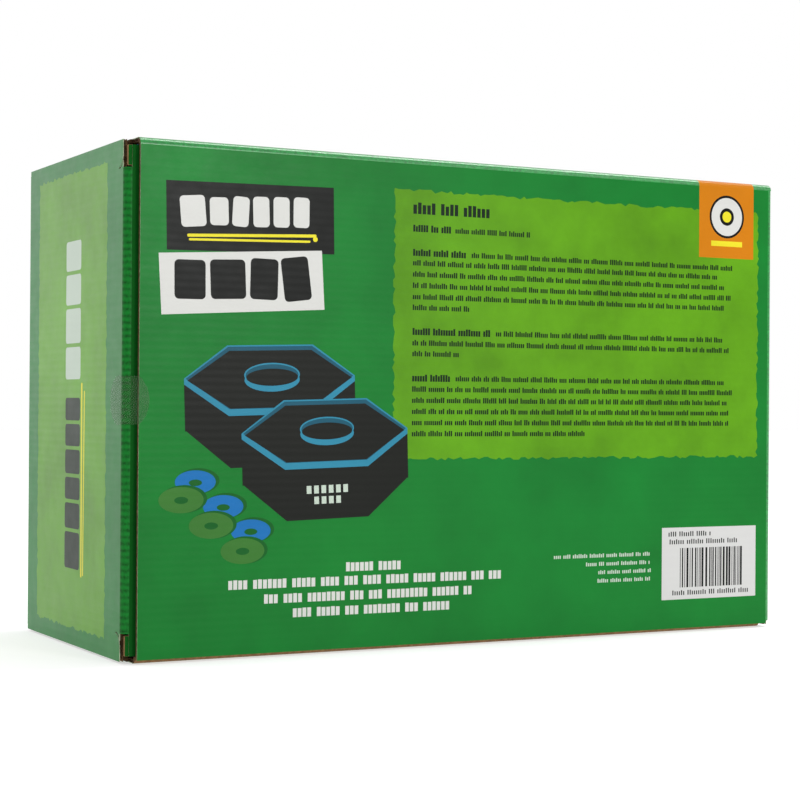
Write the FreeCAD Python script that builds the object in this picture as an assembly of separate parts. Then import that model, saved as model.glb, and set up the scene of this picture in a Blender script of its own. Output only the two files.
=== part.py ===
import FreeCAD, Part
import math
import os

from FreeCAD import Vector

# A retail carton for a washer toss game, with the game inside it. Millimetres.
# X runs along the carton, Y from its front to its back, Z up. The origin is the middle of its base.

# Driving dimensions of the carton
WIDTH = 315.0
DEPTH = 130.0
HEIGHT = 205.0
BOARD = 1.8  # thickness of the corrugated board
FOLD_R = 3.0  # outside radius of a crease
LAYER_GAP = 0.4  # air between one closed layer of board and the next
SIDE_GAP = 0.9  # how far an end panel stops short of the top and the base
TUCK_GAP = 1.2  # air between a tuck flap and the panel that it slides behind
MOUTH = 5.3  # how far the cut edge at a mouth stands back from the end panel's face

# Flaps
TUCK_DEPTH = 20.0
TUCK_CORNER_R = 9.0
TUCK_SIDE_GAP = 3.2  # from the top and the base to the tuck flap's side edges
SLIT_LENGTH = 11.0
SLIT_WIDTH = 0.7
SLIT_HOOK_R = 4.5
EAR = 1.7  # how far a tuck flap's ears reach past its crease
DUST_DEPTH = 60.0
DUST_BACK = 58.0  # half-depth of the dust flap's crease on the closure's hinge side
DUST_FRONT = 55.0  # the same on the tuck side
DUST_TAPER = 0.55  # how fast the edge on the hinge side runs in
DUST_FRONT_TAPER = 0.12
GLUE_FLAP = 30.0
GLUE_FLAP_LEFT = 131.0  # stops short of the left tuck flap
GLUE_FLAP_RIGHT = 148.0
GLUE_FLAP_TAPER = 12.0

# Film seals over the two mouths
SEAL_HALF = 9.4  # half of the seal's height where it crosses the mouth
SEAL_FILM = 0.12
SEAL_LIFT = 0.03
SEAL_REACH = 4.2  # how far a seal laps over the cut edge of the mouth
SEAL_FACE = 12.0  # how far it runs back along the end panel

# Contents
TARGET_LENGTH = 305.0
TARGET_SHORT = 152.5
CONTENT_GAP = 0.5  # between the targets and the board round them
TARGET_HEIGHT = 100.0
FLOOR = 2.5
WALL = 3.0
WALL_SLACK = 0.3  # between the outer and the inner walls of a folded target
BINDING = 10.0
TURN_LENGTH = 7.8  # along the fold, where the binding turns back
CUP_HALF = 70.0
CUP_THICK = 6.0
CUP_SLOT = 2.0
CUP_INSET = 0.5
WASHER_R = 35.0
WASHER_BORE_R = 12.5
WASHER = 4.8
WASHER_EDGE = 0.6
WASHER_PLACE_Y = 1.6

# Faces and creases worked out from those
LEFT = -WIDTH / 2
FRONT = -DEPTH / 2
BACK = DEPTH / 2
FOLD_IN = FOLD_R - BOARD
FRONT_IN = FRONT + BOARD
BACK_IN = BACK - BOARD
TOP_IN = HEIGHT - BOARD
FRONT_CREASE = FRONT + FOLD_R
BACK_CREASE = BACK - FOLD_R
TOP_CREASE = HEIGHT - FOLD_R
BASE_CREASE = FOLD_R
END_CREASE = LEFT + FOLD_R
MOUTH_EDGE = LEFT + MOUTH
TUCK_OUT = FRONT_IN + TUCK_GAP
TUCK_CREASE = TUCK_OUT + FOLD_R
DUST_OUT = LEFT + BOARD + LAYER_GAP
DUST_CREASE = DUST_OUT + FOLD_R
GLUE_CREASE = FRONT_IN + FOLD_R
TARGET_FRONT = TUCK_OUT + BOARD + CONTENT_GAP
TARGET_BACK = BACK_IN - CONTENT_GAP
HALF_TURN = 180.0


def at(plane, u, v, w):
    """The point (u, v) of a flat drawing in one of the main planes, at depth w."""
    if plane == "XY":
        return Vector(u, v, w)
    if plane == "XZ":
        return Vector(u, w, v)
    return Vector(w, u, v)


def prism(plane, edges, low, high):
    """The closed outline in edges, drawn at depth low, carried to depth high."""
    face = Part.Face(Part.Wire(edges))
    return face.extrude(at(plane, 0, 0, high - low))


def plate(plane, corners, low, high):
    points = [at(plane, u, v, low) for u, v in corners]
    edges = [Part.makeLine(a, b) for a, b in zip(points, points[1:] + points[:1])]
    return prism(plane, edges, low, high)


def block(low, high):
    size = [b - a for a, b in zip(low, high)]
    return Part.makeBox(*size, Vector(*low))


def ring_part(plane, centre, inner, outer, start, end, low, high):
    """A stretch of a round wall, from one angle to another, in degrees."""

    def on(radius, angle):
        turn = math.radians(angle)
        u = centre[0] + radius * math.cos(turn)
        v = centre[1] + radius * math.sin(turn)
        return at(plane, u, v, low)

    middle = (start + end) / 2
    edges = [
        Part.Arc(on(outer, start), on(outer, middle), on(outer, end)).toShape(),
        Part.makeLine(on(outer, end), on(inner, end)),
        Part.Arc(on(inner, end), on(inner, middle), on(inner, start)).toShape(),
        Part.makeLine(on(inner, start), on(outer, start)),
    ]
    return prism(plane, edges, low, high)


def fold(plane, centre, start, end, low, high):
    """A crease in the board, whole or half."""
    return ring_part(plane, centre, FOLD_IN, FOLD_R, start, end, low, high)


def joined(first, *others):
    return first.multiFuse(list(others)).removeSplitter()


def to_right_end(shape):
    """The right end is the left end turned half round about the vertical axis."""
    turned = shape.copy()
    turned.rotate(Vector(0, 0, 0), Vector(0, 0, 1), HALF_TURN)
    return turned


# The wrapped sleeve. Each crease at an end is split at its middle, where its hinge is.


def front_panel():
    flat = block((MOUTH_EDGE, FRONT, BOARD), (-END_CREASE, FRONT_IN, TOP_CREASE))
    hinge = fold("XY", (-END_CREASE, FRONT_CREASE), -90, -45, BASE_CREASE, TOP_CREASE)
    return joined(flat, hinge)


def back_panel():
    flat = block((END_CREASE, BACK_IN, BASE_CREASE), (-MOUTH_EDGE, BACK, TOP_CREASE))
    hinge = fold("XY", (END_CREASE, BACK_CREASE), 90, 135, BASE_CREASE, TOP_CREASE)
    return joined(flat, hinge)


def top_panel():
    ends = (DUST_CREASE, -DUST_CREASE)
    flat = block((ends[0], FRONT_CREASE, TOP_IN), (ends[1], BACK_CREASE, HEIGHT))
    front_fold = fold("YZ", (FRONT_CREASE, TOP_CREASE), 90, 180, *ends)
    back_fold = fold("YZ", (BACK_CREASE, TOP_CREASE), 0, 90, *ends)
    left_half = fold("XZ", (DUST_CREASE, TOP_CREASE), 90, 135, -DUST_FRONT, DUST_BACK)
    return joined(flat, front_fold, back_fold, left_half, to_right_end(left_half))


def bottom_panel():
    ends = (DUST_CREASE, -DUST_CREASE)
    flat = block((ends[0], GLUE_CREASE, 0), (ends[1], BACK_CREASE, BOARD))
    glue_fold = fold("YZ", (GLUE_CREASE, BASE_CREASE), 180, 270, *ends)
    back_fold = fold("YZ", (BACK_CREASE, BASE_CREASE), 270, 360, *ends)
    left_half = fold("XZ", (DUST_CREASE, BASE_CREASE), 225, 270, -DUST_FRONT, DUST_BACK)
    return joined(flat, glue_fold, back_fold, left_half, to_right_end(left_half))


def glue_flap():
    top = BASE_CREASE + GLUE_FLAP
    corners = [
        (-GLUE_FLAP_LEFT, BASE_CREASE),
        (GLUE_FLAP_RIGHT, BASE_CREASE),
        (GLUE_FLAP_RIGHT - GLUE_FLAP_TAPER, top),
        (GLUE_FLAP_TAPER - GLUE_FLAP_LEFT, top),
    ]
    return plate("XZ", corners, FRONT_IN, FRONT_IN + BOARD)


# The closure at the left end, with its hinge at the back


def end_panel():
    low, high = SIDE_GAP, HEIGHT - SIDE_GAP
    slit_low, slit_high = low + SLIT_LENGTH, high - SLIT_LENGTH
    flat = block((LEFT, TUCK_CREASE, low), (LEFT + BOARD, BACK_CREASE, high))
    hinge = fold("XY", (END_CREASE, BACK_CREASE), 135, 180, BASE_CREASE, TOP_CREASE)
    crease = fold("XY", (END_CREASE, TUCK_CREASE), 180, 225, slit_low, slit_high)
    panel = joined(flat, hinge, crease)
    radii = (SLIT_HOOK_R - SLIT_WIDTH / 2, SLIT_HOOK_R + SLIT_WIDTH / 2)
    through = (LEFT - BOARD, LEFT + 2 * BOARD)
    hooks = ((slit_high + SLIT_HOOK_R, 180, 270), (slit_low - SLIT_HOOK_R, 90, 180))
    for level, start, end in hooks:
        centre = (TUCK_CREASE + SLIT_HOOK_R, level)
        panel = panel.cut(ring_part("YZ", centre, *radii, start, end, *through))
    return panel


def tuck_flap():
    low, high = TUCK_SIDE_GAP, HEIGHT - TUCK_SIDE_GAP
    slit_low, slit_high = SIDE_GAP + SLIT_LENGTH, HEIGHT - SIDE_GAP - SLIT_LENGTH
    flat = block((END_CREASE, TUCK_OUT, low), (END_CREASE + TUCK_DEPTH, TUCK_OUT + BOARD, high))
    tip_edges = [
        edge
        for edge in flat.Edges
        if abs(edge.CenterOfMass.x - END_CREASE - TUCK_DEPTH) < BOARD / 2
        and abs(edge.Vertexes[0].Z - edge.Vertexes[1].Z) < BOARD
    ]
    flat = flat.makeFillet(TUCK_CORNER_R, tip_edges)
    crease = fold("XY", (END_CREASE, TUCK_CREASE), 225, 270, slit_low, slit_high)
    ear_from, ear_to = END_CREASE - EAR, END_CREASE
    ears = [
        block((ear_from, TUCK_OUT, low), (ear_to, TUCK_OUT + BOARD, slit_low - SLIT_WIDTH)),
        block((ear_from, TUCK_OUT, slit_high + SLIT_WIDTH), (ear_to, TUCK_OUT + BOARD, high)),
    ]
    return joined(flat, crease, *ears)


def dust_flap(is_upper):
    level, way = (TOP_CREASE, -1) if is_upper else (BASE_CREASE, 1)
    tip = level + way * DUST_DEPTH
    corners = [
        (-DUST_FRONT, level),
        (DUST_BACK, level),
        (DUST_BACK - DUST_TAPER * DUST_DEPTH, tip),
        (DUST_FRONT_TAPER * DUST_DEPTH - DUST_FRONT, tip),
    ]
    flat = plate("YZ", corners, DUST_OUT, DUST_OUT + BOARD)
    angles = (135, 180) if is_upper else (180, 225)
    crease = fold("XZ", (DUST_CREASE, level), *angles, -DUST_FRONT, DUST_BACK)
    return joined(flat, crease)


def film_seal():
    """A film seal: from the face of the mouth's panel, over the tuck crease, to the end panel."""
    lift, outside = SEAL_LIFT, SEAL_LIFT + SEAL_FILM
    near, far = FOLD_R + lift, FOLD_R + outside
    middle, low, high = HEIGHT / 2, HEIGHT / 2 - SEAL_HALF, HEIGHT / 2 + SEAL_HALF
    span = (MOUTH_EDGE - END_CREASE, FRONT - lift - TUCK_CREASE)
    tangent = math.atan2(span[1], span[0]) - math.acos(near / math.hypot(*span)) + 2 * math.pi
    foot, crown = [
        (END_CREASE + radius * math.cos(tangent), TUCK_CREASE + radius * math.sin(tangent))
        for radius in (near, far)
    ]
    strap_corners = [foot, (MOUTH_EDGE, FRONT - lift), (MOUTH_EDGE, FRONT - outside), crown]
    strap = plate("XY", strap_corners, low, high)
    turn = math.degrees(tangent)
    bend = ring_part("XY", (END_CREASE, TUCK_CREASE), near, far, HALF_TURN, turn, low, high)
    lap_tip = MOUTH_EDGE + SEAL_REACH
    lap = round_ended("XZ", (MOUTH_EDGE, low), (lap_tip, middle), (MOUTH_EDGE, high), FRONT - outside)
    face_tip = TUCK_CREASE + SEAL_FACE
    face = round_ended("YZ", (TUCK_CREASE, low), (face_tip, middle), (TUCK_CREASE, high), LEFT - outside)
    return joined(lap, strap, bend, face)


def round_ended(plane, start, tip, end, depth):
    """A piece of seal film bounded by an arc through three points and by the line that closes it."""
    points = [at(plane, u, v, depth) for u, v in (start, tip, end)]
    edges = [Part.Arc(*points).toShape(), Part.makeLine(points[2], points[0])]
    return prism(plane, edges, depth, depth + SEAL_FILM)


# The contents: two targets folded in half on their long diagonal, one on the other, and six washers


def half_hexagon(inset):
    """Corners of the folded target's plan, with its three walls moved in by inset."""
    run = (TARGET_LENGTH - TARGET_SHORT) / 2
    rise = TARGET_BACK - TARGET_FRONT
    shift = inset * math.hypot(run, rise) / rise
    outer_x = TARGET_LENGTH / 2 - shift
    inner_y = TARGET_BACK - inset
    inner_x = outer_x - (inner_y - TARGET_FRONT) * run / rise
    return [
        (-outer_x, TARGET_FRONT),
        (-inner_x, inner_y),
        (inner_x, inner_y),
        (outer_x, TARGET_FRONT),
    ]


def walls(inset, low, high):
    """The left, middle and right walls of one half of a target, mitred where they meet."""
    outer, inner = half_hexagon(inset), half_hexagon(inset + WALL)
    made = []
    for side in range(3):
        corners = [outer[side], outer[side + 1], inner[side + 1], inner[side]]
        made.append(plate("XY", corners, low, high))
    return made


def target(base):
    """One folded target standing on the level base, as named pieces."""
    lower_top = base + FLOOR
    upper_top = base + 2 * FLOOR
    rim_low, rim = base + TARGET_HEIGHT - BINDING, base + TARGET_HEIGHT
    second = WALL + WALL_SLACK
    pieces = {
        "lower_floor_board": plate("XY", half_hexagon(0), base, lower_top),
        "upper_floor_board": plate("XY", half_hexagon(second), lower_top, upper_top),
    }
    for row, inset, foot in (("outer", 0, lower_top), ("inner", second, upper_top)):
        for side, wall in zip(("left", "middle", "right"), walls(inset, foot, rim_low)):
            pieces[f"{row}_wall_{side}"] = wall
    pieces["rim_binding"] = folded_binding(second, rim_low, rim)
    pieces["cup"] = flattened_cup(upper_top, rim_low)
    pieces["cup_binding"] = flattened_cup(rim_low, rim)
    return pieces


def folded_binding(second, low, high):
    """One closed band along both rows of walls, turning back at the two ends of the fold."""
    bars = walls(0, low, high) + walls(second, low, high)
    plan = plate("XY", half_hexagon(0), low, high)
    end = TARGET_LENGTH / 2
    for near, far in ((-end, TURN_LENGTH - end), (end - TURN_LENGTH, end)):
        turn = block((near, TARGET_FRONT, low), (far, TARGET_FRONT + WALL, high))
        bars.append(turn.common(plan))
    return joined(*bars)


def flattened_cup(low, high):
    """The centre cup, pressed flat along the fold: two layers joined round at the ends."""
    radius = CUP_THICK / 2
    middle = TARGET_FRONT + CUP_INSET + radius
    return oval(radius, middle, low, high).cut(oval(CUP_SLOT / 2, middle, low, high))


def oval(radius, middle, low, high):
    half = CUP_HALF - CUP_THICK / 2
    tall = high - low
    bar = block((-half, middle - radius, low), (half, middle + radius, high))
    ends = [Part.makeCylinder(radius, tall, Vector(way * half, middle, low)) for way in (-1, 1)]
    return joined(bar, *ends)


def washer(base):
    centre = Vector(0, WASHER_PLACE_Y, base)
    disc = Part.makeCylinder(WASHER_R, WASHER, centre)
    disc = disc.cut(Part.makeCylinder(WASHER_BORE_R, WASHER, centre))
    round_edges = [edge for edge in disc.Edges if len(edge.Vertexes) == 1]
    return disc.makeChamfer(WASHER_EDGE, round_edges)


def carton():
    pieces = {
        "front_panel": front_panel(),
        "top_panel": top_panel(),
        "back_panel": back_panel(),
        "bottom_panel": bottom_panel(),
        "glue_flap": glue_flap(),
    }
    closure = {
        "end_panel": end_panel(),
        "tuck_flap": tuck_flap(),
        "upper_dust_flap": dust_flap(True),
        "lower_dust_flap": dust_flap(False),
        "seal": film_seal(),
    }
    for name, shape in closure.items():
        pieces[f"left_{name}"] = shape
        pieces[f"right_{name}"] = to_right_end(shape)
    return pieces


def contents():
    pieces = {}
    lower = BOARD + LAYER_GAP
    upper = lower + TARGET_HEIGHT + LAYER_GAP
    for level, base, colour in (("lower", lower, "blue"), ("upper", upper, "green")):
        for name, shape in target(base).items():
            pieces[f"{level}_target_{name}"] = shape
        for count in range(3):
            pieces[f"washer_{colour}_{count + 1}"] = washer(base + 2 * FLOOR + count * WASHER)
    return pieces


def main():
    os.makedirs("parts", exist_ok=True)
    for name, shape in {**carton(), **contents()}.items():
        solid = shape.Solids[0] if len(shape.Solids) == 1 else shape
        print(f"{name:36s} solids {len(shape.Solids)} valid {solid.isValid()} {solid.Volume:10.1f}")
        solid.exportStep(f"parts/{name}.step")


main()
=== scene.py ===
"""A washer toss game in its printed carton: corrugated boards, inks, film seals, targets and washers."""

import math
import random

import bpy
from mathutils import Matrix, Vector


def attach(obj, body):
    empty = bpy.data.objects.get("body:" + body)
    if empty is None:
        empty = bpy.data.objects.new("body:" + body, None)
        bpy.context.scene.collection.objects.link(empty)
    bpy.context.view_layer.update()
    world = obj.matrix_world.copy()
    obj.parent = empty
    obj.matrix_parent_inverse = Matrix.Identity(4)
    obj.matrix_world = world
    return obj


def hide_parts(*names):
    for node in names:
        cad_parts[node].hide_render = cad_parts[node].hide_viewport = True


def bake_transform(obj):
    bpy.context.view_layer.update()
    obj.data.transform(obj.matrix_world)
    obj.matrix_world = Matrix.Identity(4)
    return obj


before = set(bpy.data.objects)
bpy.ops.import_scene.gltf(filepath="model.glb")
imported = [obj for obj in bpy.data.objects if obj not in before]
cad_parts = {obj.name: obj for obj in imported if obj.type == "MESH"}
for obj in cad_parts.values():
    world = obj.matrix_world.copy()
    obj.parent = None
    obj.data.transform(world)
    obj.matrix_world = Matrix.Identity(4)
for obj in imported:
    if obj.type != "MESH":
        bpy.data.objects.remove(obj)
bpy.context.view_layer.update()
bpy.ops.object.select_all(action="DESELECT")

MM = 0.001
QUARTER = math.pi / 2

# The carton, in metres: origin under the middle of the base, front at -Y
LEFT = -157.5 * MM
FRONT = -65 * MM
BACK = 65 * MM
HEIGHT = 205 * MM
BOARD = 1.8 * MM
FOLD_R = 3 * MM
FRONT_IN = FRONT + BOARD
BACK_IN = BACK - BOARD
TOP_IN = HEIGHT - BOARD
FRONT_CREASE = FRONT + FOLD_R
BACK_CREASE = BACK - FOLD_R
TOP_CREASE = HEIGHT - FOLD_R
BASE_CREASE = FOLD_R
END_CREASE = LEFT + FOLD_R
MOUTH_EDGE = -152.2 * MM
TUCK_OUT = -62 * MM
TUCK_CREASE = TUCK_OUT + FOLD_R
DUST_OUT = -155.3 * MM
DUST_CREASE = DUST_OUT + FOLD_R
GLUE_CREASE = FRONT_IN + FOLD_R
END_LOW, END_HIGH = 0.9 * MM, HEIGHT - 0.9 * MM
TUCK_LOW, TUCK_HIGH = 3.2 * MM, HEIGHT - 3.2 * MM
SLIT_LOW, SLIT_HIGH = END_LOW + 11 * MM, END_HIGH - 11 * MM
TUCK_DEPTH = 20 * MM
TUCK_CORNER_R = 9 * MM
EAR = 1.7 * MM
HOOK_R = 4.5 * MM
SLIT_WIDTH = 0.7 * MM
DUST_DEPTH = 60 * MM
DUST_FRONT, DUST_BACK = -55 * MM, 58 * MM
DUST_FRONT_TAPER, DUST_BACK_TAPER = 0.12, 0.55
GLUE_LEFT, GLUE_RIGHT = -131 * MM, 148 * MM
GLUE_DEPTH = 30 * MM
GLUE_TAPER = 12 / 30
CORNER_REACH = 1.6 * MM  # how far the top front fold runs on round the right corner

# The layers of the board, up from its inner face, and the inks on it
LINER = 0.3 * MM
FACE_TOP = BOARD - 0.15 * MM
FLUTE = 3.1 * MM
MEDIUM = 0.22 * MM
INK_FOOT = 0.006 * MM
INK_STEP = 0.011 * MM

# The contents
TARGET_FRONT = -59.7 * MM
TARGET_BACK = 62.7 * MM
HALF_LENGTH = 152.5 * MM
HALF_SHORT = 76.25 * MM
TARGET_HEIGHT = 100 * MM
FLOOR_BOARD = 2.5 * MM
WALL = 3 * MM
SECOND_ROW = 3.3 * MM
BINDING = 10 * MM
TURN_LENGTH = 7.8 * MM
CUP_HALF = 70 * MM
CUP_R = 3 * MM
CUP_SLOT = 1 * MM
CUP_INSET = 0.5 * MM
LOWER_TARGET_BASE, UPPER_TARGET_BASE = 2.2 * MM, 102.6 * MM
WASHER_Y = 1.6 * MM
WASHER_R = 35 * MM
WASHER_BORE = 12.5 * MM
WASHER_THICK = 4.8 * MM
BLUE_STACK_BASE, GREEN_STACK_BASE = 7.2 * MM, 107.6 * MM

SQUARE_ON = 0.9  # how nearly a face or an edge lies along an axis to count as along it
HAIR = 0.01 * MM  # what counts as the same place


# Hand tools


def take(piece):
    """Makes one piece the only one in hand."""
    bpy.ops.object.select_all(action="DESELECT")
    piece.select_set(True)
    bpy.context.view_layer.objects.active = piece
    return piece


def sized(scale):
    """Gives the plane or grid just added its size, and puts its place into its mesh."""
    piece = bpy.context.active_object
    piece.scale = scale
    return settle(piece)


def settle(piece):
    """Puts a piece's place into its mesh."""
    take(piece)
    bpy.ops.object.transform_apply(location=True, rotation=True, scale=True)
    return piece


def place(piece, frame_matrix):
    """Stands a piece made flat on the bench at its place in the carton."""
    piece.matrix_world = frame_matrix
    bpy.context.view_layer.update()
    return settle(piece)


def joined(name, parts):
    """Several parts as one piece."""
    bpy.ops.object.select_all(action="DESELECT")
    for part in parts:
        part.select_set(True)
    bpy.context.view_layer.objects.active = parts[0]
    if len(parts) > 1:
        bpy.ops.object.join()
    parts[0].name = name
    parts[0].data.name = name
    return parts[0]


def pick(piece, kind, test):
    """Selects the faces, edges or vertices that pass a test, and leaves the piece in edit mode."""
    take(piece)
    bpy.ops.object.mode_set(mode="EDIT")
    bpy.ops.mesh.select_mode(type=kind)
    bpy.ops.mesh.select_all(action="DESELECT")
    bpy.ops.object.mode_set(mode="OBJECT")
    mesh = piece.data
    if kind == "FACE":
        for face in mesh.polygons:
            face.select = test(face)
    elif kind == "EDGE":
        for edge in mesh.edges:
            a, b = [mesh.vertices[corner].co for corner in edge.vertices]
            edge.select = test((a + b) / 2, b - a)
    else:
        for vertex in mesh.vertices:
            vertex.select = test(vertex.co)
    bpy.ops.object.mode_set(mode="EDIT")


def put_down():
    bpy.ops.object.mode_set(mode="OBJECT")


def apply_all(piece):
    take(piece)
    for modifier in list(piece.modifiers):
        bpy.ops.object.modifier_apply(modifier=modifier.name)
    return piece


def block(name, low, high):
    """A block between two corners."""
    centre = [(a + b) / 2 for a, b in zip(low, high)]
    size = [b - a for a, b in zip(low, high)]
    bpy.ops.object.select_all(action="DESELECT")
    bpy.ops.mesh.primitive_cube_add(size=1, location=centre, scale=size)
    piece = bpy.context.active_object
    piece.name = name
    return settle(piece)


def trim(piece, point, normal):
    """Cuts off what lies beyond a plane and closes the cut."""
    take(piece)
    bpy.ops.object.mode_set(mode="EDIT")
    bpy.ops.mesh.select_all(action="SELECT")
    way = Vector(normal).normalized()
    bpy.ops.mesh.bisect(plane_co=point, plane_no=way, use_fill=True, clear_outer=True, threshold=1e-6)
    put_down()


def face_out(piece):
    take(piece)
    bpy.ops.object.mode_set(mode="EDIT")
    bpy.ops.mesh.select_all(action="SELECT")
    bpy.ops.mesh.normals_make_consistent(inside=False)
    put_down()
    return piece


def soften(piece, width, segments=2, test=None):
    """Rounds the chosen edges, or all of them."""
    pick(piece, "EDGE", test or (lambda middle, run: True))
    bpy.ops.mesh.bevel(offset=width, segments=segments, profile=0.5)
    put_down()
    return piece


def smooth(piece, degrees=35):
    take(piece)
    bpy.ops.object.shade_smooth_by_angle(angle=math.radians(degrees))
    return piece


def bench(u_axis, v_axis, offset):
    """The placing of a board made flat: its length, its width, and where its inner face lies."""
    u, v = Vector(u_axis), Vector(v_axis)
    w = u.cross(v)
    placing = Matrix((u, v, w)).transposed().to_4x4()
    placing.translation = w * offset
    return placing


FRONT_BENCH = bench((1, 0, 0), (0, 0, 1), -FRONT_IN)
BACK_BENCH = bench((-1, 0, 0), (0, 0, 1), BACK_IN)
TOP_BENCH = bench((1, 0, 0), (0, 1, 0), TOP_IN)
BOTTOM_BENCH = bench((1, 0, 0), (0, -1, 0), -BOARD)
GLUE_BENCH = bench((1, 0, 0), (0, 0, 1), -(FRONT_IN + BOARD))
END_BENCH = bench((0, -1, 0), (0, 0, 1), -(LEFT + BOARD))
TUCK_BENCH = bench((1, 0, 0), (0, 0, 1), -(TUCK_OUT + BOARD))
DUST_BENCH = bench((0, -1, 0), (0, 0, 1), -(DUST_OUT + BOARD))
HALF_ROUND = Matrix.Rotation(math.pi, 4, "Z")


# Finishes


def add_node(tree, kind, **settings):
    made = tree.nodes.new("ShaderNode" + kind)
    for key, value in settings.items():
        setattr(made, key, value)
    return made


def start_finish(name, roughness, specular):
    finish = bpy.data.materials.new(name)
    finish.use_nodes = True
    tree = finish.node_tree
    shader = tree.nodes["Principled BSDF"]
    shader.inputs["Roughness"].default_value = roughness
    shader.inputs["Specular IOR Level"].default_value = specular
    place_on_piece = add_node(tree, "TexCoord").outputs["Object"]
    return finish, tree, shader, place_on_piece


def grain(tree, where, scale, detail=4.0, rough=0.55):
    noise = add_node(tree, "TexNoise")
    noise.inputs["Scale"].default_value = scale
    noise.inputs["Detail"].default_value = detail
    noise.inputs["Roughness"].default_value = rough
    tree.links.new(where, noise.inputs["Vector"])
    return noise.outputs["Fac"]


def blend_colours(tree, factor, *stops):
    ramp = add_node(tree, "ValToRGB")
    elements = ramp.color_ramp.elements
    while len(elements) < len(stops):
        elements.new(0.5)
    for element, (where, colour) in zip(elements, stops):
        element.position = where
        element.color = (*colour, 1)
    tree.links.new(factor, ramp.inputs["Fac"])
    return ramp.outputs["Color"]


def raise_surface(tree, shader, height, distance, before=None):
    bump = add_node(tree, "Bump")
    bump.inputs["Strength"].default_value = 1
    bump.inputs["Distance"].default_value = distance
    tree.links.new(height, bump.inputs["Height"])
    if before is not None:
        tree.links.new(before, bump.inputs["Normal"])
    tree.links.new(bump.outputs["Normal"], shader.inputs["Normal"])
    return bump.outputs["Normal"]


def ridges(tree, where, axis, pitch):
    """Soft parallel ridges, one to each pitch, across the given axis."""
    wave = add_node(tree, "TexWave", wave_type="BANDS", bands_direction=axis, wave_profile="SIN")
    wave.inputs["Scale"].default_value = math.pi / (10 * pitch)
    wave.inputs["Distortion"].default_value = 0
    tree.links.new(where, wave.inputs["Vector"])
    return wave.outputs["Fac"]


def shade(colour, amount):
    return tuple(min(1, channel * amount) for channel in colour)


def screen_colour(red, green, blue):
    """A colour as a screen shows it, in linear light."""
    made = []
    for channel in (red, green, blue):
        part = channel / 255
        made.append(part / 12.92 if part <= 0.04045 else ((part + 0.055) / 1.055) ** 2.4)
    return tuple(made)


def printed(name, colour, axis="Z", roughness=0.36, mottle=0.14, specular=0.13, flute_depth=0.02):
    """Varnished ink on corrugated board, with the flutes showing through."""
    finish, tree, shader, where = start_finish(name, roughness, specular)
    cloud = grain(tree, where, 22, 5, 0.6)
    tint = blend_colours(
        tree, cloud, (0.3, shade(colour, 1 - mottle)), (0.5, colour), (0.72, shade(colour, 1 + mottle))
    )
    tree.links.new(tint, shader.inputs["Base Color"])
    gloss = add_node(tree, "MapRange")
    gloss.inputs["To Min"].default_value = roughness - 0.07
    gloss.inputs["To Max"].default_value = roughness + 0.09
    tree.links.new(grain(tree, where, 140, 3), gloss.inputs["Value"])
    tree.links.new(gloss.outputs["Result"], shader.inputs["Roughness"])
    swell = raise_surface(tree, shader, grain(tree, where, 9, 1), 0.9 * MM)
    flutes = raise_surface(tree, shader, ridges(tree, where, axis, FLUTE), flute_depth * MM, swell)
    raise_surface(tree, shader, grain(tree, where, 1500, 3), 0.012 * MM, flutes)
    return finish


def paper(name, light, dark, roughness=0.85):
    """Bare paper: kraft liner, fluting medium or a cut edge."""
    finish, tree, shader, where = start_finish(name, roughness, 0.2)
    fibre = grain(tree, where, 600, 6, 0.65)
    tree.links.new(blend_colours(tree, fibre, (0.32, dark), (0.66, light)), shader.inputs["Base Color"])
    raise_surface(tree, shader, grain(tree, where, 1800, 3), 0.03 * MM)
    return finish


def cracked_ink(name, colour, roughness, specular, rib_share):
    """Ink over a crease, with fine pale cracks and dark lines where the flutes are crushed."""
    finish, tree, shader, where = start_finish(name, roughness, specular)
    cracks = grain(tree, where, 900, 8, 0.7)
    ribs = ridges(tree, where, "Z", RIB_PITCH)
    mixed = add_node(tree, "Math", operation="MULTIPLY_ADD")
    mixed.inputs[1].default_value = rib_share
    tree.links.new(ribs, mixed.inputs[0])
    tree.links.new(cracks, mixed.inputs[2])
    tint = blend_colours(
        tree,
        mixed.outputs["Value"],
        (0.4, shade(colour, 0.5)),
        (0.62, shade(colour, 1.05)),
        (0.95, shade(colour, 1.5)),
    )
    tree.links.new(tint, shader.inputs["Base Color"])
    raise_surface(tree, shader, mixed.outputs["Value"], 0.012 * MM)
    return finish


def cloth(name, colour, across, pitch, roughness=0.85):
    """Plain weave: two sets of threads, across two axes."""
    finish, tree, shader, where = start_finish(name, roughness, 0.15)
    shader.inputs["Sheen Weight"].default_value = 0.12
    shader.inputs["Sheen Roughness"].default_value = 0.5
    warp = ridges(tree, where, across[0], pitch)
    weft = ridges(tree, where, across[1], pitch)
    threads = add_node(tree, "Math", operation="MULTIPLY")
    tree.links.new(warp, threads.inputs[0])
    tree.links.new(weft, threads.inputs[1])
    mixed = add_node(tree, "Math", operation="MULTIPLY")
    tree.links.new(threads.outputs["Value"], mixed.inputs[0])
    tree.links.new(grain(tree, where, 260, 4), mixed.inputs[1])
    tint = blend_colours(tree, mixed.outputs["Value"], (0, shade(colour, 0.55)), (0.5, shade(colour, 1.5)))
    tree.links.new(tint, shader.inputs["Base Color"])
    raise_surface(tree, shader, threads.outputs["Value"], 0.12 * MM)
    return finish


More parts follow.
